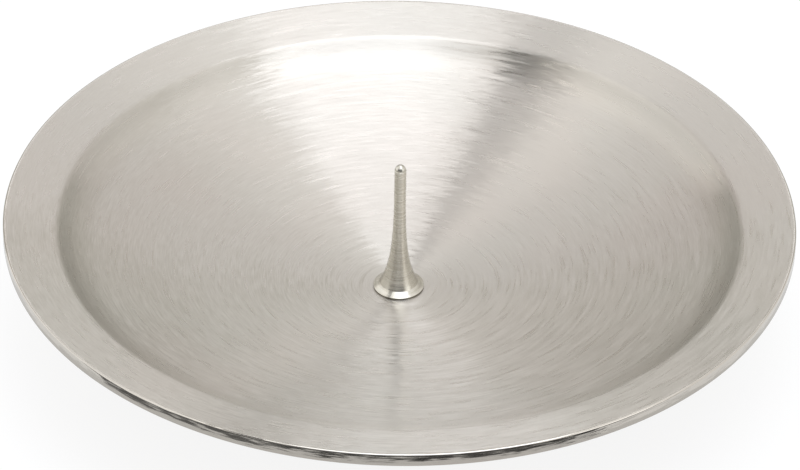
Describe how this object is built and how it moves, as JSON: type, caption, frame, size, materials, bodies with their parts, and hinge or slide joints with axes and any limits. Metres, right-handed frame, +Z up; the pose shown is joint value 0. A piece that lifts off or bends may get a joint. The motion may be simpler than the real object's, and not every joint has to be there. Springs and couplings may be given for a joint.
{
  "type": "pricket candle plate",
  "caption": "Round brushed steel candle plate with a dished well, sloping rim and turned-down lip, a flared upright spike that holds a pillar candle, and a foot ring.",
  "frame": {"origin": "middle of the foot ring, on the table", "axes": "+Z up along the spike; the plate is round, so +X and +Y are free"},
  "size_m": [0.14, 0.14, 0.0338],
  "materials": {
    "dish_steel": "concentric brushed",
    "spike_steel": "fine turned",
    "fastener_zinc": "bright zinc plated",
    "spring_steel": "dull zinc plated",
    "foot_steel": "satin"
  },
  "bodies": {
    "root": {"dish": "dish_steel", "spike": "spike_steel", "flat_washer": "fastener_zinc", "spring_washer": "spring_steel", "hex_nut": "fastener_zinc", "foot_ring": "foot_steel"}
  },
  "joints": []
}
